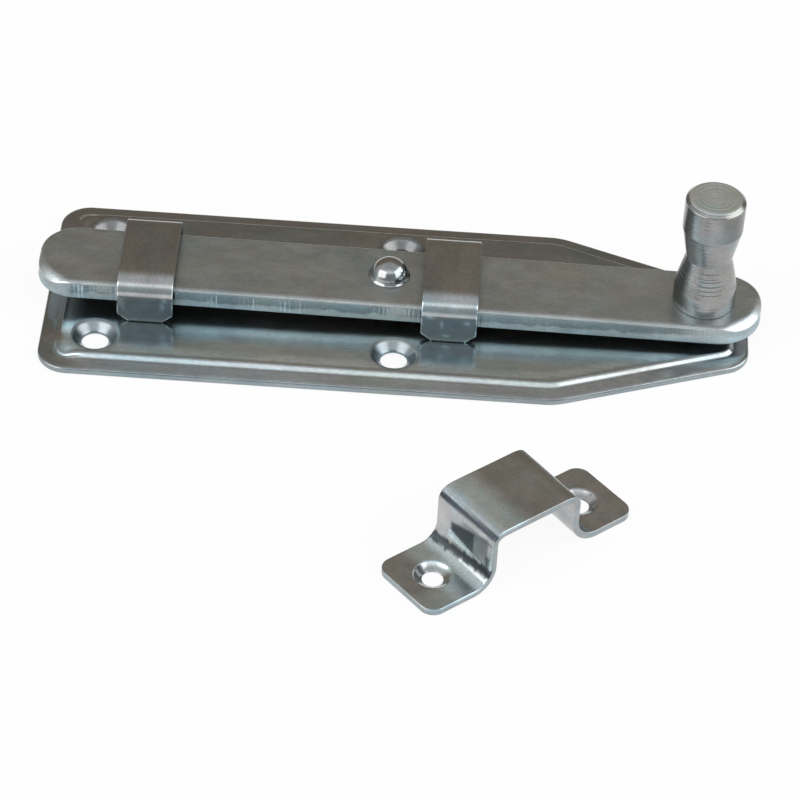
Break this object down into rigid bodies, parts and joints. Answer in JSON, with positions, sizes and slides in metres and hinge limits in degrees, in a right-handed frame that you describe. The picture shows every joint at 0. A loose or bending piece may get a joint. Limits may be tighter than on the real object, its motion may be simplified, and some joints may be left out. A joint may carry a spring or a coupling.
{
  "type": "sliding bolt",
  "caption": "Surface-mounted sliding door bolt: flat bar with a turned knob in bent guides on a pressed plate, with a bridge keeper.",
  "frame": {"origin": "centre of the back plate's four screw holes, on the face of the door", "axes": "+X along the bar from its nose to the knob, +Y across the plate, +Z off the door"},
  "size_m": [0.1442, 0.112, 0.0345],
  "materials": {
    "plate_zinc": "bright zinc plate on pressed sheet steel, cut edges bare of polish",
    "guide_zinc": "bright zinc plate on bent sheet steel, glossy on the bends",
    "bar_zinc": "dull zinc plate on sheared flat bar, sheared sides striped across",
    "stud_zinc": "glossy zinc plate on a domed stud",
    "knob_zinc": "zinc plate over turning rings",
    "keeper_zinc": "zinc plate on bent sheet steel, faintly mottled"
  },
  "bodies": {
    "mounting": {"back_plate": "plate_zinc", "front_guide": "guide_zinc", "rear_guide": "guide_zinc", "keeper": "keeper_zinc"},
    "bolt": {"bar": "bar_zinc", "stop_stud": "stud_zinc", "knob": "knob_zinc"}
  },
  "joints": [
    {"name": "bolt_slide", "type": "slide", "parent": "mounting", "child": "bolt", "axis": [1, 0, 0], "range_m": [-0.0383, 0.0035]}
  ]
}
